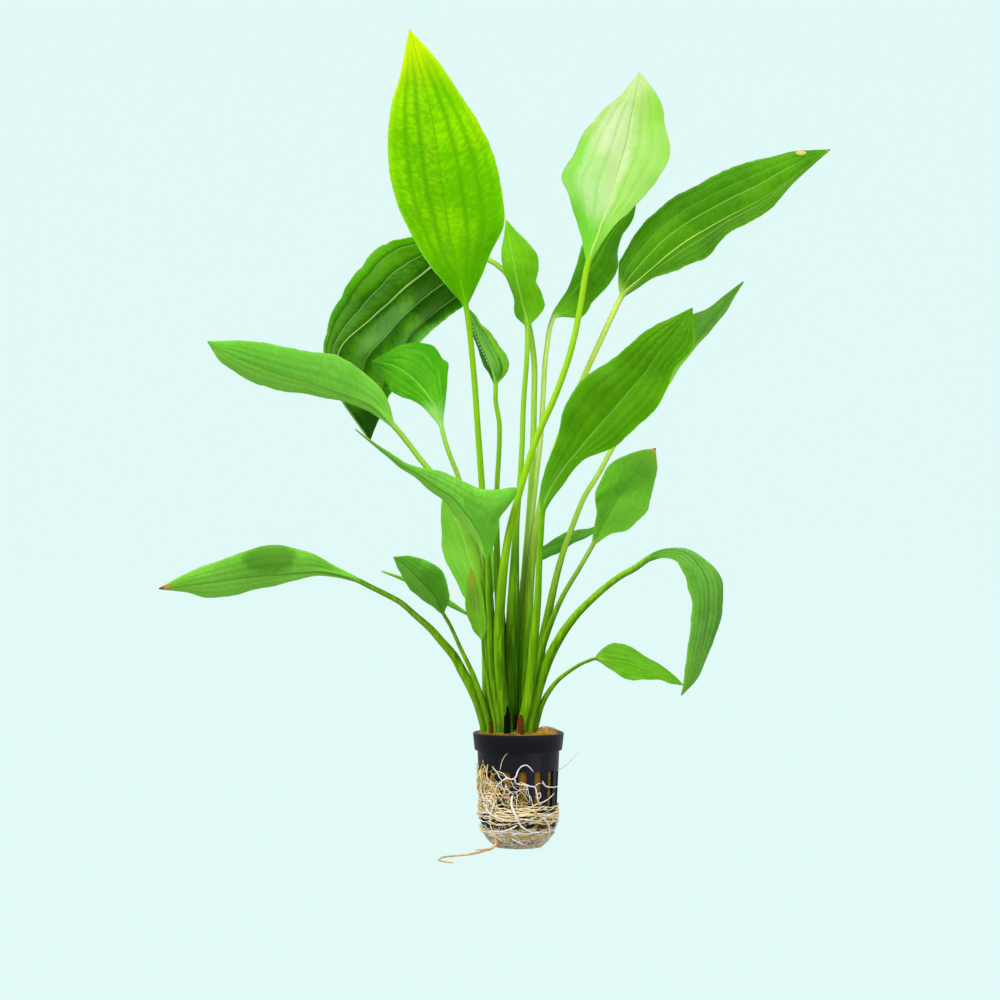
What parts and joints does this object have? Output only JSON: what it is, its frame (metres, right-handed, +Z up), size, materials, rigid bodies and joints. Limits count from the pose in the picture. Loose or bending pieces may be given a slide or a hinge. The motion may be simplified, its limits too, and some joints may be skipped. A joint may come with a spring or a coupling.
{
  "type": "potted amazon sword plant",
  "caption": "Aquarium sword plant with long-stalked pointed leaves rising from one crown, in a slotted net pot of stone wool with roots outside.",
  "frame": {"origin": "centre of the net pot's flat base, where it stands", "axes": "+Z up along the pot's axis; the picture looks along +Y, with +X to the right"},
  "size_m": [0.3806, 0.1974, 0.4639],
  "materials": {
    "pot_plastic": "black injection-moulded plastic with a soft blue-grey sheen",
    "stone_wool": "soaked yellow-brown stone wool, fibrous",
    "crown": "pale rootstock",
    "dry_sheath": "dry brown leaf sheath",
    "leaf_bright": "young lime-green leaf, light showing through",
    "leaf_pale": "pale green leaf underside",
    "leaf_fresh": "fresh green leaf, satin",
    "leaf_dark": "dark green leaf, satin",
    "leaf_matt": "soft green leaf, matt underside",
    "root": "cream to tan living root"
  },
  "bodies": {
    "root": {"net_pot": "pot_plastic", "rock_wool": "stone_wool", "crown": "crown", "sheath_front": "dry_sheath", "sheath_left": "dry_sheath", "leaf_tall": "leaf_bright", "leaf_pale": "leaf_pale", "leaf_far_right": "leaf_fresh", "leaf_dark_upper": "leaf_dark", "leaf_centre": "leaf_fresh", "leaf_broad_back": "leaf_dark", "leaf_left": "leaf_matt", "leaf_left_back": "leaf_fresh", "leaf_bumpy": "leaf_dark", "leaf_twisted": "leaf_matt", "leaf_light_back": "leaf_fresh", "leaf_spotted": "leaf_fresh", "leaf_low_left": "leaf_matt", "leaf_small_left": "leaf_dark", "leaf_furled": "leaf_fresh", "leaf_large_right": "leaf_fresh", "leaf_behind_right": "leaf_matt", "leaf_small_right": "leaf_fresh", "leaf_edge_on": "leaf_dark", "leaf_drooping": "leaf_matt", "leaf_low_right": "leaf_fresh", "root_front": "root", "root_arch": "root", "root_fork": "root", "root_right": "root", "root_lower_left": "root", "root_belt_upper": "root", "root_belt_lower": "root", "root_mat_left": "root", "root_stray": "root", "root_trailing": "root"}
  },
  "joints": []
}
